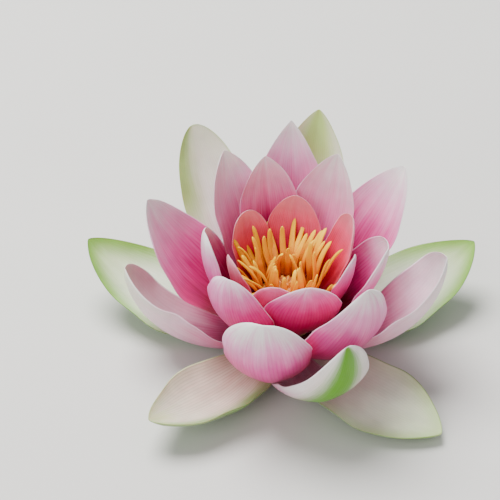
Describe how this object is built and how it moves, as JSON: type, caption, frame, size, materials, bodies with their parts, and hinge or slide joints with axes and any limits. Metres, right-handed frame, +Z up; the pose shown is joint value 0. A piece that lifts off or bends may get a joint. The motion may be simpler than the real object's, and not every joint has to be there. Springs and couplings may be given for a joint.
{
  "type": "water lily flower",
  "caption": "Open water lily flower with pale spreading sepals, cupped pink petals in whorls and a golden ring of stamens, cut just below the bloom.",
  "frame": {"origin": "bottom centre of the flower's box, on the surface it rests on, under the cut stalk to within the uneven spread of its sepals", "axes": "+Z up along the flower's axis, +X to the right and the longest extent, -Y towards the low front petals"},
  "size_m": [0.1228, 0.0958, 0.0611],
  "materials": {
    "sepal": "soft waxy plant skin, pale green-cream inside and green outside",
    "outer_petal": "soft petal skin, whitish pink fading to crimson at the base, green mark outside near some tips",
    "petal": "soft petal skin, pink fading to crimson at the base",
    "inner_petal": "soft petal skin, coral red",
    "receptacle": "matt green stalk and ovary wall",
    "stigma": "matt orange",
    "stamen": "soft golden yellow, orange at the foot"
  },
  "bodies": {
    "root": {"sepal_back_left": "sepal", "sepal_back_right": "sepal", "sepal_front_right": "sepal", "sepal_front_left": "sepal", "petal_1_back_left": "outer_petal", "petal_1_back_right": "outer_petal", "petal_1_right": "outer_petal", "petal_1_front": "outer_petal", "petal_1_left": "outer_petal", "petal_2_back": "outer_petal", "petal_2_left": "outer_petal", "petal_2_front_left": "outer_petal", "petal_3_front_right": "petal", "petal_3_back": "petal", "petal_3_right": "petal", "petal_3_left": "petal", "petal_4_front_left": "petal", "petal_4_back_left": "petal", "petal_4_back_right": "petal", "petal_4_front_right": "petal", "petal_5_back": "petal", "petal_5_front_left": "petal", "petal_5_right": "petal", "petal_6_back": "inner_petal", "petal_6_front_left": "inner_petal", "petal_7_back_left": "inner_petal", "petal_7_back_right": "inner_petal", "receptacle": "receptacle", "stigma_disc": "stigma", "stamen_outer_01": "stamen", "stamen_outer_02": "stamen", "stamen_outer_03": "stamen", "stamen_outer_04": "stamen", "stamen_outer_05": "stamen", "stamen_outer_06": "stamen", "stamen_outer_07": "stamen", "stamen_outer_08": "stamen", "stamen_outer_09": "stamen", "stamen_outer_10": "stamen", "stamen_outer_11": "stamen", "stamen_outer_12": "stamen", "stamen_outer_13": "stamen", "stamen_outer_14": "stamen", "stamen_middle_01": "stamen", "stamen_middle_02": "stamen", "stamen_middle_03": "stamen", "stamen_middle_04": "stamen", "stamen_middle_05": "stamen", "stamen_middle_06": "stamen", "stamen_middle_07": "stamen", "stamen_middle_08": "stamen", "stamen_middle_09": "stamen", "stamen_middle_10": "stamen", "stamen_middle_11": "stamen", "stamen_middle_12": "stamen", "stamen_middle_13": "stamen", "stamen_middle_14": "stamen", "stamen_inner": "stamen"}
  },
  "joints": []
}
